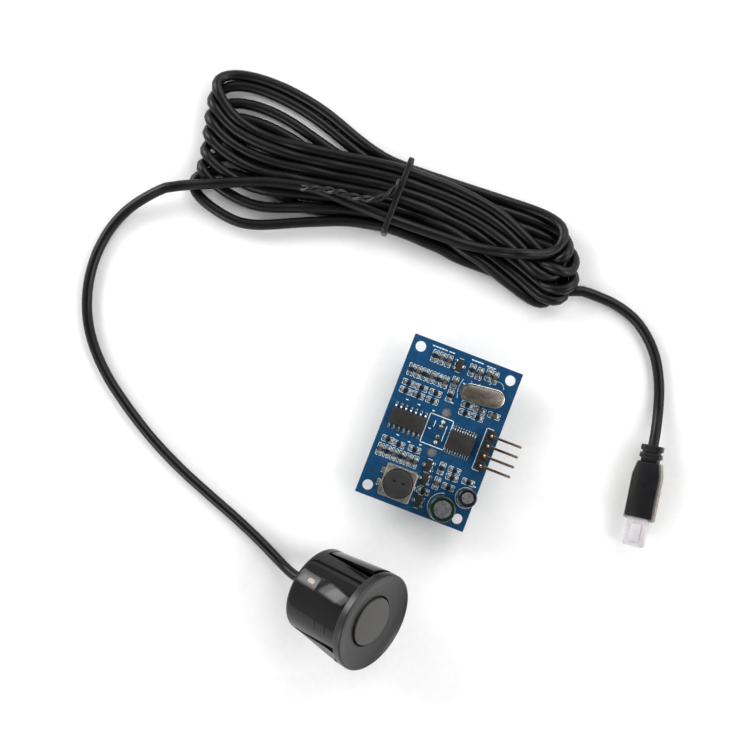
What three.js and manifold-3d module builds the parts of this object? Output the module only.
// Waterproof ultrasonic distance sensor: a driver board, and a round probe on a long tied-up lead
// that ends in the plug for the board. Millimetres, +Z up. The table top is z = 0, the board's long
// side runs along Y, and the origin lies under the middle of the board and the probe together.
import * as THREE from 'three';
import { mergeVertices } from 'three/addons/utils/BufferGeometryUtils.js';
import Module from 'manifold-3d';

const wasm = await Module();
wasm.setup();

// ---------------------------------------------------------------- driving dimensions
const SEAT_GAP = 0.06; // between a part and the face that it is soldered or pressed against
const FIT_GAP = 0.3; // between pieces that are cut or turned to each other
const CUT_OVER = 1; // how far a cutter runs past the face that it opens

// Driver board
const BOARD_CENTRE = [0.27, 19.305];
const BOARD_WIDTH = 28;
const BOARD_LENGTH = 41;
const BOARD_THICK = 1.6;
const SCREW_HOLE = { radius: 1.3, x: 11.65, y: 18 };
const PEG_HOLE = { radius: 0.8, y: 5.1 };

// Socket under the board, which the board stands on
const SOCKET = {
  x: -0.58, y: 0.1, width: 5.8, length: 7.4, height: 6, roof: 0.8, wallX: 0.85, wallY: 0.9,
};
const CONTACT = { side: 0.64, pitch: 2.5, x: 0.58, tail: 0.8, recess: 1, clearance: 0.14 };
const BOARD_TOP = SOCKET.height + SEAT_GAP + BOARD_THICK;

// Right-angle pin header
const HEADER = { x: 11.83, width: 2.3, length: 10.1, height: 2.5, clearance: 0.12 };
const PIN = {
  side: 0.64, pitch: 2.54, count: 4, tip: 19.6, level: 3.3, bend: 0.9, tail: 1.4, hole: 0.55,
};

// Chips: length along the lead rows, width and height of the body, span over the lead tips
const CHIP_STANDOFF = 0.1;
const LEAD_SHOULDER = 0.45; // share of the body's height at which its leads come out
// Share of a lead's reach at which its knee and heel lie, on its lower and on its upper side
const LEAD_FORM = { kneeLow: 0.25, heelLow: 0.45, kneeHigh: 0.38, heelHigh: 0.58 };
const DRIVER_CHIP = {
  x: -8.3, y: 0.1, length: 8.7, width: 3.9, height: 1.45,
  span: 6.1, pitch: 1.27, leads: 7, lead: 0.42, thick: 0.22,
};
const CONTROL_CHIP = {
  x: 5.65, y: -0.44, length: 6.5, width: 4.4, height: 0.95,
  span: 6.4, pitch: 0.65, leads: 10, lead: 0.24, thick: 0.15,
};
const TRANSISTOR = {
  length: 2.9, width: 1.4, height: 1, span: 2.5, pitch: 1.9, lead: 0.42, thick: 0.14,
};
// Where each transistor stands, and whether its pair of leads faces the other way
const TRANSISTOR_PLACES = [[-1.25, 17, 1], [0.4, -8.5, 0], [0.7, -11.8, 0], [1.15, -17.4, 0]];

// Crystal and electrolytic capacitors
const CRYSTAL = {
  x: 6.55, y: 12.1, turn: 7, length: 11.05, width: 4.65, flange: 0.5, inset: 0.5, height: 3.5,
};
const LARGE_CAPACITOR = { x: 7.05, y: -16.7, radius: 3.15, height: 5.5, lean: 0 };
const SMALL_CAPACITOR = { x: 11.7, y: -12.5, radius: 2.3, height: 5.3, lean: 5 };
const STAND_OFF = 0.1; // under the crystal and the capacitors
const BUNG = { height: 0.5, share: 0.9 };
const CAN_ROUNDING = 0.35;

// Tunable transformer: its screening can, and inside it a wound drum under a ferrite cup
const TRANSFORMER = { x: -5.1, y: -14.85, width: 7.8, length: 7.7, height: 5.1, wall: 0.25 };
const COIL_BASE = { inset: 0.45, low: 0.15, high: 1.15 };
const DRUM = { radius: 2.2, waist: 1, low: 1.3, high: 4.1, flange: 0.3 };
const WINDING = { inner: 1.15, outer: 2, gap: 0.15 };
const CORE = {
  radius: 3.5, bore: 2.6, bottom: 1.7, top: 5.4, crown: 0.8,
  edge: 0.2, clearance: 0.15, slotLength: 3, slotWidth: 0.6,
};

// Probe: the centre of its front rim, its turn about Z and the lift of its face above level.
// Heights inside it are measured from the front rim, so they are below zero.
const PROBE_CENTRE = [1.51, -27.545, 19.35];
const PROBE_TURN = -3.6;
const PROBE_LIFT = 34.8;
const RIM = { radius: 12.3, thick: 2.05, dish: 1.1, bore: 6.5, relief: 0.3 };
const LIP = { edge: 0.25, drop: 0.3, width: 0.7, fall: 0.1 }; // rounding of the rim's front corner
const SPIGOT_END = -4.1;
const HOUSING = {
  radius: 10.75, wall: 1.1, length: 19, barrel: 8.3, barrelBore: 7.5,
  floor: 1.5, cableHole: 2.2, edge: 0.6, root: 0.4,
};
const WINDOW = { clear: 0.5, depth: 6 }; // cutter of a tab's window, from the barrel outwards
const FACE = { radius: 6.1, front: -0.8, depth: 8.8, thick: 0.9, wall: 0.75, edge: 0.25 };
const SEAL = { gap: 0.23, outer: 7.2, front: -2.35, behind: 0.5 };
const PIEZO = { radius: 3.9, front: -1.9, back: -2.7 };
const ABSORBER = { inner: 1.8, outer: 5, front: -3, back: -5.3 };
const POTTING = { inner: 1.8, outer: 7.2, back: -17.2, behind: 0.8 };
const WIRE = { radius: 0.35, end: -17.1, offset: 0.7 };
const GROUND_ROUTE = [
  [-4.65, 0, -6.2], [-3.3, 0, -7.2], [-1.3, 0, -8.2], [-WIRE.offset, 0, -10], [-WIRE.offset, 0, WIRE.end],
];
const TAB = { width: 8.4, slot: 0.7, root: -16.5, tip: -3, rise: 1.5, thick: 1, lead: 0.4 };
const TAB_STRIP = { depth: 8, length: 30, out: 2, along: 5 }; // what a tab is cut from its ring by
const FLAT_PAD = { turn: 15.7, width: 4.1, front: -2.8, rear: -12.2, proud: 0.12 };
const GLAND = { stem: 1.9, collar: 3.1, neck: 1.85, flare: 0.5, collarEnd: -20.5, end: -22.9 };

// Cable
const CABLE_RADIUS = 1.32;
const CABLE_SIDES = 8;
const CABLE_STEP = 6.3;
const LEAD_ROUTE = [
  [-17.5, -26.35, 6.11], [-20.4, -26.1, 4.17], [-23.4, -25.2, 2.39], [-27.1, -23.6, 1.46],
  [-31.9, -21.4, 1.38], [-39, -18.5, 1.38], [-47.7, -15.3, 1.38], [-56.1, -12, 1.38],
  [-64.9, -7.8, 1.38], [-73.1, -2.9, 1.38], [-80.9, 2.7, 1.38], [-87, 8.8, 1.38],
  [-91.1, 15.2, 1.38], [-93.5, 22.2, 1.38], [-94.3, 29.4, 1.38], [-93.5, 36.5, 1.46],
  [-90.9, 42.9, 2.15], [-86.6, 48.4, 3.7], [-81.9, 52.4, 5.46],
];
const TAIL_ROUTE = [
  [20.4, 64.5, 1.38], [24.6, 64.7, 1.38], [30, 64.4, 1.38], [35.5, 62.8, 1.38], [40.2, 59.7, 1.38],
  [44.1, 55.4, 1.38], [47.2, 49.7, 1.38], [49.1, 43.9, 1.85], [50.2, 38.6, 3.12], [50.68, 35.7, 3.6],
];

// Hank of cable, the points on its outline, and the wire tie around its waist
const HANK_BOTTOM = 0.06;
const HANK_TOP = 8.4;
const HANK_OUTLINE = [
  [-29.3, 78.6], [-16.6, 78.3], [3.3, 79.6], [11.4, 78.6], [16.1, 75.5], [19.2, 70.2], [19.7, 65.8],
  [17.9, 60.5], [14.2, 56.3], [8.4, 55.8], [-3.9, 57.3], [-12.7, 58.7], [-29.3, 60.2], [-39, 57.4],
  [-50.7, 52.7], [-64.4, 48.6], [-73.1, 48.2], [-78.5, 50.9], [-81.9, 57.5], [-83.1, 66.3],
  [-83.9, 77], [-82.3, 84], [-77.5, 86.6], [-69.2, 87.4], [-60.5, 86.7], [-51.7, 84.2], [-41.9, 80.3],
];
const TIE = { x: -29.8, width: 1.9, thick: 0.8, low: 59.5, high: 79.4, top: 9 };
const TIE_TAIL = [[-30.4, 70.8, 9.7], [-35.1, 65.9, 9.5], [-41.9, 64.7, 9.5], [-52.2, 62.6, 9.4]];
const TWIST = { radius: 0.8, sides: 6, step: 6 };

// Plug: rear end of its boot, heading of its nose, roll about its own length
const PLUG_REAR = [50.75, 35.2, 3.8];
const PLUG_HEADING = -80.4;
const PLUG_ROLL = 20;
const BOOT = { length: 4.1, width: 5.4, height: 4.5, stem: 3.5, rib: 1.3, gap: 0.7 };
const PLUG_BODY = {
  length: 13.8, width: 6.7, height: 5.45, shoulder: 5.25, taper: 3.3,
  split: 1.25, seam: 0.1, wall: 0.9, lip: 0.6,
};
const NOSE = { length: 6.8, width: 5, height: 3.7, inside: 3.9, cavity: 1.6, backWall: 1 };
const MOUTH_OVER = 6; // added to the length of the cutter that opens the shell for the nose
const PLUG_BORE = { inset: 1, start: 3 }; // the narrower hollow behind the nose
const SLEEVE = { side: 1.2, start: 1.2, frontGap: 1.2 };

// ---------------------------------------------------------------- materials
function finish(color, roughness, metalness = 0) {
  return new THREE.MeshStandardMaterial({ color, roughness, metalness });
}

const FINISH = {
  solderMask: finish(0x1a6a96, 0.35),
  chipBlack: finish(0x1d1b19, 0.6),
  headerBlack: finish(0x141414, 0.5),
  tinned: finish(0xc9c8c4, 0.3, 1),
  nickel: finish(0xb8b2a8, 0.3, 1),
  ferrite: finish(0x2a2a2b, 0.55),
  copper: finish(0xb06a3a, 0.35, 1),
  sleeve: finish(0x10251d, 0.35),
  darkSleeve: finish(0x15171c, 0.35),
  bungRubber: finish(0x161616, 0.8),
  nylon: finish(0xeeebe6, 0.5),
  glossBlack: finish(0x0b0b0c, 0.15),
  satinBlack: finish(0x1c1c1d, 0.4),
  silicone: finish(0x101010, 0.7),
  paintedAluminium: finish(0x5a5957, 0.5),
  ceramic: finish(0xd8d2c4, 0.6),
  felt: finish(0x3a3a38, 0.95),
  resin: finish(0x201f22, 0.4),
  cable: finish(0x101011, 0.45),
  redWire: finish(0x9a1f1c, 0.5),
  bareWire: finish(0xb9b4aa, 0.35, 1),
  tie: finish(0x2b2d2e, 0.5),
  plugBase: finish(0xa9a59c, 0.5),
};

// ---------------------------------------------------------------- solids
function signedVolume(geometry) {
  const corners = (geometry.index ? geometry.toNonIndexed() : geometry).attributes.position;
  const [a, b, c] = [new THREE.Vector3(), new THREE.Vector3(), new THREE.Vector3()];
  let volume = 0;
  for (let i = 0; i < corners.count; i += 3) {
    a.fromBufferAttribute(corners, i);
    b.fromBufferAttribute(corners, i + 1);
    c.fromBufferAttribute(corners, i + 2);
    volume += a.dot(b.cross(c)) / 6;
  }
  return volume;
}

// Merges the shared corners and turns the faces outwards
function closed(geometry) {
  geometry.deleteAttribute('normal');
  geometry.deleteAttribute('uv');
  const merged = mergeVertices(geometry, 1e-4);
  if (signedVolume(merged) < 0) {
    const order = merged.index.array;
    for (let i = 0; i < order.length; i += 3) [order[i], order[i + 1]] = [order[i + 1], order[i]];
  }
  return merged;
}

function toSolid(geometry) {
  const shell = closed(geometry);
  const vertProperties = new Float32Array(shell.attributes.position.array);
  const corners = shell.index.array;
  const triVerts = new Uint32Array([...corners].filter((_, i) => {
    const k = i - (i % 3);
    const [a, b, c] = [corners[k], corners[k + 1], corners[k + 2]];
    return a !== b && b !== c && c !== a;
  }));
  return new wasm.Manifold(new wasm.Mesh({ numProp: 3, vertProperties, triVerts }));
}

function toGeometry(solid) {
  const { vertProperties, triVerts } = solid.getMesh();
  const geometry = new THREE.BufferGeometry();
  geometry.setAttribute('position', new THREE.BufferAttribute(new Float32Array(vertProperties), 3));
  geometry.setIndex(new THREE.BufferAttribute(new Uint32Array(triVerts), 1));
  return geometry;
}

function joined(...geometries) {
  return toGeometry(geometries.map(toSolid).reduce((whole, piece) => whole.add(piece)));
}

function cut(body, ...tools) {
  return toGeometry(tools.map(toSolid).reduce((whole, tool) => whole.subtract(tool), toSolid(body)));
}

function shared(one, other) {
  return toGeometry(toSolid(one).intersect(toSolid(other)));
}

// A box by its size along each axis and the place of its centre
function block(size, centre) {
  return new THREE.BoxGeometry(...size).translate(...centre);
}

function post(radius, bottom, top, x = 0, y = 0, sides = 16) {
  const solid = new THREE.CylinderGeometry(radius, radius, top - bottom, sides);
  return solid.rotateX(Math.PI / 2).translate(x, y, (top + bottom) / 2);
}

function ringProfile(inner, outer, low, high) {
  return [[inner, low], [outer, low], [outer, high], [inner, high]];
}

// A profile of [radius, height] corners turned about Z; one that starts off the axis is closed on itself
function turned(profile, sides = 32) {
  const onAxis = profile[0][0] === 0;
  const corners = onAxis ? profile : [...profile, profile[0]];
  const points = corners.map(([radius, height]) => new THREE.Vector2(radius, height));
  return closed(new THREE.LatheGeometry(points, sides).rotateX(Math.PI / 2));
}

function plate(shape, bottom, top, curveSegments = 8) {
  const depth = top - bottom;
  const solid = new THREE.ExtrudeGeometry(shape, { depth, bevelEnabled: false, curveSegments });
  return solid.translate(0, 0, bottom);
}

// An outline drawn across and up, made solid along Y with its middle at y = 0
function slab(outline, width, curveSegments = 8) {
  const solid = plate(outline, -width / 2, width / 2, curveSegments);
  return solid.rotateX(Math.PI / 2);
}

function rectangle(width, length, x = 0, y = 0) {
  const [w, l] = [width / 2, length / 2];
  const corners = [[-w, -l], [w, -l], [w, l], [-w, l]];
  return new THREE.Shape(corners.map(([a, b]) => new THREE.Vector2(x + a, y + b)));
}

function roundHole(x, y, radius) {
  return new THREE.Path().absarc(x, y, radius, 0, 2 * Math.PI, true);
}

// A straight-sided oval along X
function stadium(length, width) {
  const [half, radius] = [(length - width) / 2, width / 2];
  const shape = new THREE.Shape();
  shape.absarc(half, 0, radius, -Math.PI / 2, Math.PI / 2, false);
  shape.absarc(-half, 0, radius, Math.PI / 2, 1.5 * Math.PI, false);
  return shape;
}

function circleSection(radius, sides) {
  const corners = Array.from({ length: sides }, (_, i) => {
    const angle = (2 * Math.PI * i) / sides;
    return new THREE.Vector2(radius * Math.cos(angle), radius * Math.sin(angle));
  });
  return new THREE.Shape(corners);
}

function tube(route, radius, sides, step) {
  const points = route.map((point) => new THREE.Vector3(...point));
  const path = new THREE.CatmullRomCurve3(points, false, 'centripetal');
  const steps = Math.max(4, Math.round(path.getLength() / step));
  return closed(new THREE.ExtrudeGeometry(circleSection(radius, sides), { steps, extrudePath: path }));
}

function piece(parent, name, geometry, material, position = [0, 0, 0], turn = 0) {
  const mesh = new THREE.Mesh(geometry, material);
  mesh.name = name;
  mesh.position.set(...position);
  mesh.rotation.z = THREE.MathUtils.degToRad(turn);
  parent.add(mesh);
}

// ---------------------------------------------------------------- driver board
function evenly(count, pitch) {
  return Array.from({ length: count }, (_, i) => (i - (count - 1) / 2) * pitch);
}

function contactPlaces() {
  return evenly(2, CONTACT.pitch).map((offset) => [SOCKET.x + CONTACT.x, SOCKET.y + offset]);
}

function circuitBoard(parent) {
  const shape = rectangle(BOARD_WIDTH, BOARD_LENGTH);
  for (const x of [-SCREW_HOLE.x, SCREW_HOLE.x]) {
    for (const y of [-SCREW_HOLE.y, SCREW_HOLE.y]) shape.holes.push(roundHole(x, y, SCREW_HOLE.radius));
  }
  for (const y of [-PEG_HOLE.y, PEG_HOLE.y]) shape.holes.push(roundHole(0, y, PEG_HOLE.radius));
  for (const y of evenly(PIN.count, PIN.pitch)) shape.holes.push(roundHole(HEADER.x, y, PIN.hole));
  for (const [x, y] of contactPlaces()) shape.holes.push(roundHole(x, y, PIN.hole));
  piece(parent, 'circuit_board', plate(shape, -BOARD_THICK, 0), FINISH.solderMask);
}

// The lead of a surface-mounted part: out of the body, down, and a flat foot on the board
function gullWing(inner, tip, shoulder, thick) {
  const reach = tip - inner;
  const [top, bottom] = [shoulder + thick / 2, shoulder - thick / 2];
  const at = (share) => inner + share * reach;
  const corners = [
    [inner, bottom], [at(LEAD_FORM.kneeLow), bottom], [at(LEAD_FORM.heelLow), 0], [tip, 0],
    [tip, thick], [at(LEAD_FORM.heelHigh), thick], [at(LEAD_FORM.kneeHigh), top], [inner, top],
  ];
  return new THREE.Shape(corners.map(([x, z]) => new THREE.Vector2(x, z)));
}

function chipSolid(chip, leftRows, rightRows) {
  const body = block([chip.width, chip.length, chip.height], [0, 0, CHIP_STANDOFF + chip.height / 2]);
  const shoulder = CHIP_STANDOFF + LEAD_SHOULDER * chip.height;
  const outline = gullWing(chip.width / 2 - CHIP_STANDOFF, chip.span / 2, shoulder, chip.thick);
  const lead = (y, turn) => slab(outline, chip.lead).translate(0, y, 0).rotateZ(turn);
  const right = rightRows.map((y) => lead(y, 0));
  const left = leftRows.map((y) => lead(-y, Math.PI));
  return joined(body, ...right, ...left);
}

function chips(parent) {
  for (const [name, chip] of [['driver_chip', DRIVER_CHIP], ['control_chip', CONTROL_CHIP]]) {
    const rows = evenly(chip.leads, chip.pitch);
    piece(parent, name, chipSolid(chip, rows, rows), FINISH.chipBlack, [chip.x, chip.y, SEAT_GAP], 90);
  }
  TRANSISTOR_PLACES.forEach(([x, y, turned180], i) => {
    const solid = chipSolid(TRANSISTOR, [0], evenly(2, TRANSISTOR.pitch));
    piece(parent, `transistor_${i + 1}`, solid, FINISH.chipBlack, [x, y, SEAT_GAP], 180 * turned180);
  });
}

function pinOutline() {
  const half = PIN.side / 2;
  const [low, turn] = [-BOARD_THICK - PIN.tail, PIN.level - PIN.bend];
  const run = PIN.tip - HEADER.x;
  const shape = new THREE.Shape();
  shape.moveTo(half, low);
  shape.lineTo(half, turn);
  shape.absarc(PIN.bend, turn, PIN.bend - half, Math.PI, Math.PI / 2, true);
  shape.lineTo(run, PIN.level - half);
  shape.lineTo(run, PIN.level + half);
  shape.absarc(PIN.bend, turn, PIN.bend + half, Math.PI / 2, Math.PI, false);
  shape.lineTo(-half, low);
  return shape;
}

function pinHeader(parent) {
  const base = rectangle(HEADER.width, HEADER.length);
  const rows = evenly(PIN.count, PIN.pitch);
  const hole = PIN.side + HEADER.clearance;
  for (const y of rows) base.holes.push(rectangle(hole, hole, 0, y));
  const solid = plate(base, SEAT_GAP, HEADER.height);
  piece(parent, 'header_base', solid, FINISH.headerBlack, [HEADER.x, 0, 0]);
  rows.forEach((y, i) => {
    piece(parent, `header_pin_${i + 1}`, slab(pinOutline(), PIN.side, 4), FINISH.tinned, [HEADER.x, y, 0]);
  });
}

function socket(parent) {
  const top = -BOARD_THICK - SEAT_GAP;
  const bottom = top - SOCKET.height;
  const shell = block([SOCKET.width, SOCKET.length, SOCKET.height], [0, 0, (top + bottom) / 2]);
  const [inX, inY] = [SOCKET.width - 2 * SOCKET.wallX, SOCKET.length - 2 * SOCKET.wallY];
  const well = block([inX, inY, SOCKET.height], [0, 0, (top + bottom) / 2 - SOCKET.roof]);
  const slotSide = CONTACT.side + CONTACT.clearance;
  const slotDepth = 2 * (SOCKET.roof + CUT_OVER);
  const slots = evenly(2, CONTACT.pitch).map((y) => {
    return block([slotSide, slotSide, slotDepth], [CONTACT.x, y, top]);
  });
  piece(parent, 'socket_shell', cut(shell, well, ...slots), FINISH.nylon, [SOCKET.x, SOCKET.y, 0]);
  contactPlaces().forEach(([x, y], i) => {
    const [low, high] = [bottom + CONTACT.recess, CONTACT.tail];
    const blade = block([CONTACT.side, CONTACT.side, high - low], [0, 0, (high + low) / 2]);
    piece(parent, `socket_contact_${i + 1}`, blade, FINISH.tinned, [x, y, 0]);
  });
}

function crystal(parent) {
  const place = [CRYSTAL.x, CRYSTAL.y, STAND_OFF];
  const flange = plate(stadium(CRYSTAL.length, CRYSTAL.width), 0, CRYSTAL.flange, 6);
  const [length, width] = [CRYSTAL.length - 2 * CRYSTAL.inset, CRYSTAL.width - 2 * CRYSTAL.inset];
  const can = plate(stadium(length, width), CRYSTAL.flange + STAND_OFF, CRYSTAL.height, 6);
  piece(parent, 'crystal_base', flange, FINISH.nickel, place, CRYSTAL.turn);
  piece(parent, 'crystal_can', can, FINISH.nickel, place, CRYSTAL.turn);
}

function capacitor(parent, size, part, sleeve) {
  const group = new THREE.Group();
  group.position.set(part.x, part.y, STAND_OFF);
  group.rotation.x = THREE.MathUtils.degToRad(-part.lean);
  parent.add(group);
  const lift = part.lean ? FIT_GAP : 0;
  const [radius, low, high] = [part.radius, lift + BUNG.height + STAND_OFF, part.height];
  const can = [
    [0, low], [radius, low], [radius, high - CAN_ROUNDING], [radius - CAN_ROUNDING, high], [0, high],
  ];
  piece(group, `capacitor_${size}_can`, turned(can, 24), sleeve);
  const bung = post(radius * BUNG.share, lift, lift + BUNG.height);
  piece(group, `capacitor_${size}_bung`, bung, FINISH.bungRubber);
}

function transformer(parent) {
  const { width, length, height, wall } = TRANSFORMER;
  const outer = block([width, length, height - SEAT_GAP], [0, 0, (height + SEAT_GAP) / 2]);
  const inner = block([width - 2 * wall, length - 2 * wall, height], [0, 0, height / 2 - wall]);
  const mouth = post(CORE.radius + CORE.clearance, height - CUT_OVER, height + CUT_OVER, 0, 0, 32);
  const place = [TRANSFORMER.x, TRANSFORMER.y, 0];
  piece(parent, 'transformer_can', cut(outer, inner, mouth), FINISH.nickel, place);
  const { inset, low, high } = COIL_BASE;
  const base = block([width - 2 * inset, length - 2 * inset, high - low], [0, 0, (high + low) / 2]);
  piece(parent, 'transformer_base', base, FINISH.headerBlack, place);
  coil(parent, place);
}

function coil(parent, place) {
  const { radius, waist, low, high, flange } = DRUM;
  const drum = [
    [0, low], [radius, low], [radius, low + flange], [waist, low + flange],
    [waist, high - flange], [radius, high - flange], [radius, high], [0, high],
  ];
  piece(parent, 'transformer_drum', turned(drum, 20), FINISH.ferrite, place);
  const [wireLow, wireHigh] = [low + flange + WINDING.gap, high - flange - WINDING.gap];
  const { inner, outer } = WINDING;
  const winding = [[inner, wireLow], [outer, wireLow], [outer, wireHigh], [inner, wireHigh]];
  piece(parent, 'transformer_winding', turned(winding, 20), FINISH.copper, place);
  const rim = CORE.radius;
  const under = CORE.top - CORE.crown;
  const cup = [
    [0, under], [CORE.bore, under], [CORE.bore, CORE.bottom], [rim, CORE.bottom],
    [rim, CORE.top - CORE.edge], [rim - CORE.edge, CORE.top], [0, CORE.top],
  ];
  const slot = block([CORE.slotLength, CORE.slotWidth, CORE.crown], [0, 0, CORE.top]);
  piece(parent, 'tuning_core', cut(turned(cup, 32), slot), FINISH.ferrite, place);
}

function driverBoard() {
  const board = new THREE.Group();
  board.position.set(...BOARD_CENTRE, BOARD_TOP);
  circuitBoard(board);
  chips(board);
  pinHeader(board);
  socket(board);
  crystal(board);
  capacitor(board, 'large', LARGE_CAPACITOR, FINISH.sleeve);
  capacitor(board, 'small', SMALL_CAPACITOR, FINISH.darkSleeve);
  transformer(board);
  return board;
}

// ---------------------------------------------------------------- probe
function housing(parent) {
  const { radius, wall, length, barrel, barrelBore, floor, cableHole, edge, root } = HOUSING;
  const [rear, front, inner] = [-length, RIM.relief - RIM.thick - FIT_GAP, radius - wall];
  const seat = rear + floor + root;
  const profile = [
    [cableHole, rear], [radius - edge, rear], [radius, rear + edge], [radius, front], [inner, front],
    [inner, seat], [barrel, seat], [barrel, front], [barrelBore, front],
    [barrelBore, rear + floor], [cableHole, rear + floor],
  ];
  const window = (side) => {
    const [low, high] = [TAB.root - FIT_GAP, 0];
    const centre = [0, side * (barrel + WINDOW.clear + WINDOW.depth / 2), (low + high) / 2];
    return block([TAB.width + 2 * TAB.slot, WINDOW.depth, high - low], centre);
  };
  const padHeight = radius + FLAT_PAD.proud - inner - root;
  const padLength = FLAT_PAD.front - FLAT_PAD.rear;
  const padCentre = [-(inner + root + padHeight / 2), 0, (FLAT_PAD.front + FLAT_PAD.rear) / 2];
  const pad = block([padHeight, FLAT_PAD.width, padLength], padCentre);
  pad.rotateZ(THREE.MathUtils.degToRad(-FLAT_PAD.turn));
  const shell = joined(turned(profile, 48), pad);
  piece(parent, 'probe_housing', cut(shell, window(1), window(-1)), FINISH.glossBlack);
}

function snapTabs(parent) {
  const inner = HOUSING.radius - TAB.thick;
  const profile = [
    [inner, TAB.root], [HOUSING.radius, TAB.root], [HOUSING.radius + TAB.rise, TAB.tip - TAB.lead],
    [HOUSING.radius + TAB.rise, TAB.tip], [inner + TAB.rise, TAB.tip],
  ];
  for (const [name, side] of [['snap_tab_left', 1], ['snap_tab_right', -1]]) {
    const centre = [0, side * (inner + TAB_STRIP.out), TAB.root + TAB_STRIP.along];
    const strip = block([TAB.width, TAB_STRIP.depth, TAB_STRIP.length], centre);
    piece(parent, name, shared(turned(profile, 48), strip), FINISH.glossBlack);
  }
}

// The end of the housing sits in a shallow rebate behind the flange, flush with the ring around it
function frontBezel(parent) {
  const { radius, thick, dish, bore, relief } = RIM;
  const [outer, inner] = [HOUSING.radius - HOUSING.wall - FIT_GAP, HOUSING.barrel + FIT_GAP];
  const reliefRadius = HOUSING.radius + FIT_GAP;
  const profile = [
    [bore, -thick], [inner, -thick], [inner, SPIGOT_END], [outer, SPIGOT_END],
    [outer, relief - thick], [reliefRadius, relief - thick], [reliefRadius, -thick], [radius, -thick],
    [radius, -LIP.drop], [radius - LIP.edge, 0], [radius - LIP.width, -LIP.fall], [bore, -dish],
  ];
  piece(parent, 'front_bezel', turned(profile, 48), FINISH.satinBlack);
}

function transducer(parent) {
  const { radius, front, depth, thick, wall, edge } = FACE;
  const [back, inner] = [front - depth, radius - wall];
  const can = [
    [0, front - thick], [inner, front - thick], [inner, back], [radius, back],
    [radius, front - edge], [radius - edge, front], [0, front],
  ];
  piece(parent, 'transducer_can', turned(can, 40), FINISH.paintedAluminium);
  const seal = ringProfile(radius + SEAL.gap, SEAL.outer, back - SEAL.behind, SEAL.front);
  piece(parent, 'decoupling_ring', turned(seal, 32), FINISH.silicone);
  piece(parent, 'piezo_disc', post(PIEZO.radius, PIEZO.back, PIEZO.front, 0, 0, 24), FINISH.ceramic);
  const absorber = ringProfile(ABSORBER.inner, ABSORBER.outer, ABSORBER.back, ABSORBER.front);
  piece(parent, 'absorber_pad', turned(absorber, 24), FINISH.felt);
  const potting = ringProfile(POTTING.inner, POTTING.outer, POTTING.back, back - POTTING.behind);
  piece(parent, 'potting', turned(potting, 24), FINISH.resin);
  const signal = post(WIRE.radius, WIRE.end, ABSORBER.front, WIRE.offset, 0, 8);
  piece(parent, 'signal_wire', signal, FINISH.redWire);
  piece(parent, 'ground_wire', tube(GROUND_ROUTE, WIRE.radius, 6, 2), FINISH.bareWire);
}

function cableGland(parent) {
  const { stem, collar, neck, flare, collarEnd, end } = GLAND;
  const [inside, seat] = [-HOUSING.length + HOUSING.floor, -HOUSING.length - FIT_GAP];
  const profile = [
    [0, end], [neck, end], [neck + flare, collarEnd], [collar, collarEnd], [collar, seat], [stem, seat],
    [stem, inside], [0, inside],
  ];
  piece(parent, 'cable_gland', turned(profile, 24), FINISH.silicone);
}

function probe() {
  const group = new THREE.Group();
  group.position.set(...PROBE_CENTRE);
  const [tip, turn] = [90 - PROBE_LIFT, PROBE_TURN].map(THREE.MathUtils.degToRad);
  group.rotation.set(0, tip, turn, 'ZYX');
  housing(group);
  snapTabs(group);
  frontBezel(group);
  transducer(group);
  cableGland(group);
  return group;
}

// ---------------------------------------------------------------- cable, hank and tie
function tieRing(margin, width) {
  const { low, high, top, thick } = TIE;
  const inset = thick + margin;
  const ring = rectangle(high - low, top, (high + low) / 2, top / 2);
  const [length, height] = [high - low - 2 * inset, top - 2 * inset];
  ring.holes.push(rectangle(length, height, (high + low) / 2, top / 2));
  const solid = plate(ring, -width / 2, width / 2);
  return solid.rotateX(Math.PI / 2).rotateZ(Math.PI / 2).translate(TIE.x, 0, SEAT_GAP);
}

function hank(parent) {
  const [first, ...rest] = HANK_OUTLINE.map(([x, y]) => new THREE.Vector2(x, y));
  const outline = new THREE.Shape();
  outline.moveTo(first.x, first.y);
  outline.splineThru([...rest, first]);
  const whole = plate(outline, HANK_BOTTOM, HANK_TOP, 2);
  const groove = tieRing(FIT_GAP, TIE.width + 2 * FIT_GAP);
  piece(parent, 'cord_hank', cut(whole, groove), FINISH.cable);
  const tail = tube(TIE_TAIL, TWIST.radius, TWIST.sides, TWIST.step);
  piece(parent, 'twist_tie', joined(tieRing(0, TIE.width), tail), FINISH.tie);
}

function cable() {
  const group = new THREE.Group();
  for (const [name, route] of [['cord_lead', LEAD_ROUTE], ['cord_tail', TAIL_ROUTE]]) {
    piece(group, name, tube(route, CABLE_RADIUS, CABLE_SIDES, CABLE_STEP), FINISH.cable);
  }
  hank(group);
  return group;
}

// ---------------------------------------------------------------- plug
function boot(parent) {
  const { length, width, height, stem, rib, gap } = BOOT;
  const core = block([stem, stem, length], [0, 0, length / 2]);
  const ribs = [0, rib + gap].map((start) => block([width, height, rib], [0, 0, start + rib / 2]));
  piece(parent, 'plug_boot', joined(core, ...ribs), FINISH.satinBlack);
}

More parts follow.
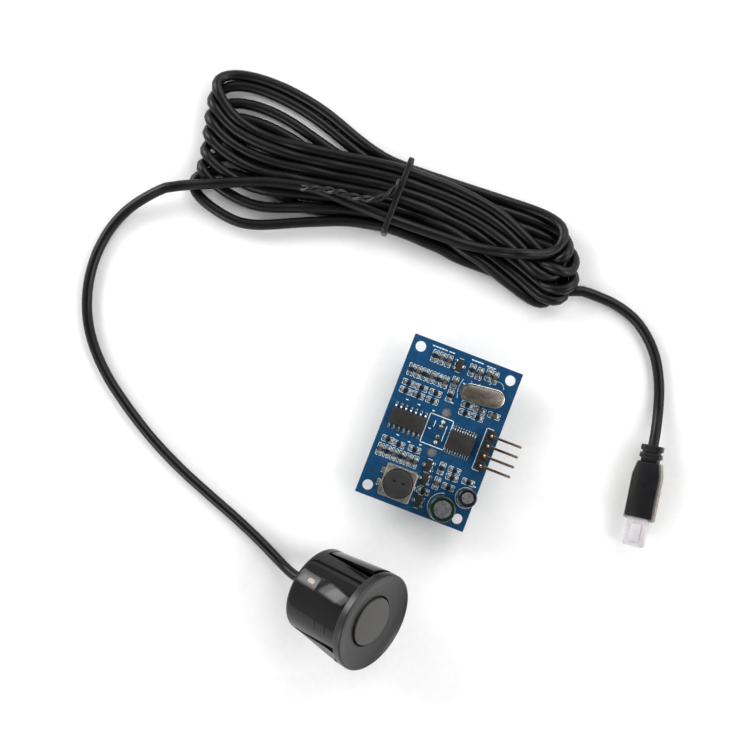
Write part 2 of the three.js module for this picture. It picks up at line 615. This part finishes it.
// One half of the plug's body, from height low to height high, hollow where the nose goes in
function shellHalf(low, high, extra) {
  const { length, width, shoulder, taper, wall } = PLUG_BODY;
  const outline = new THREE.Shape();
  const [half, neck, end] = [width / 2, shoulder / 2, length + extra];
  outline.moveTo(-neck, 0);
  const corners = [[neck, 0], [half, taper], [half, end], [-half, end], [-half, taper]];
  corners.forEach(([x, z]) => outline.lineTo(x, z));
  const body = plate(outline, low, high).rotateX(Math.PI / 2).scale(1, -1, 1);
  const mouth = [NOSE.width + FIT_GAP, NOSE.height + FIT_GAP, NOSE.inside + MOUTH_OVER];
  const hollow = block(mouth, [0, 0, length + MOUTH_OVER / 2 - NOSE.inside / 2]);
  const { inset, start } = PLUG_BORE;
  const boreSize = [width - 2 * wall - inset, NOSE.height - inset, length];
  const bore = block(boreSize, [0, 0, length / 2 + start]);
  return cut(body, hollow, bore);
}

function plug() {
  const group = new THREE.Group();
  group.position.set(...PLUG_REAR);
  const heading = THREE.MathUtils.degToRad(PLUG_HEADING);
  const nose = new THREE.Vector3(Math.cos(heading), Math.sin(heading), 0);
  const up = new THREE.Vector3(0, 0, 1);
  const roll = new THREE.Quaternion().setFromAxisAngle(up, THREE.MathUtils.degToRad(PLUG_ROLL));
  const across = new THREE.Vector3().crossVectors(up, nose);
  const stance = new THREE.Matrix4().makeBasis(across, up, nose);
  group.quaternion.setFromRotationMatrix(stance).multiply(roll);
  boot(group);
  const body = new THREE.Group();
  body.position.z = BOOT.length + PLUG_BODY.seam;
  group.add(body);
  const half = PLUG_BODY.height / 2;
  piece(body, 'plug_cover', shellHalf(PLUG_BODY.split, half, 0), FINISH.satinBlack);
  const lower = shellHalf(-half, PLUG_BODY.split - PLUG_BODY.seam, PLUG_BODY.lip);
  piece(body, 'plug_base', lower, FINISH.plugBase);
  const length = NOSE.length + NOSE.inside;
  const shell = block([NOSE.width, NOSE.height, length], [0, 0, length / 2]);
  const depth = length - NOSE.backWall;
  const cavities = evenly(2, CONTACT.pitch).map((x) => {
    const reach = depth + CUT_OVER;
    return block([NOSE.cavity, NOSE.cavity, reach], [x, 0, NOSE.backWall + reach / 2]);
  });
  const start = PLUG_BODY.length - NOSE.inside + FIT_GAP;
  piece(body, 'plug_nose', cut(shell, ...cavities), FINISH.nylon, [0, 0, start]);
  evenly(2, CONTACT.pitch).forEach((x, i) => {
    const reach = length - SLEEVE.start - SLEEVE.frontGap;
    const sleeve = block([SLEEVE.side, SLEEVE.side, reach], [x, 0, SLEEVE.start + reach / 2]);
    piece(body, `plug_contact_${i + 1}`, sleeve, FINISH.tinned, [0, 0, start]);
  });
  return group;
}

const sensor = new THREE.Group();
sensor.add(driverBoard(), probe(), cable(), plug());
export default sensor;
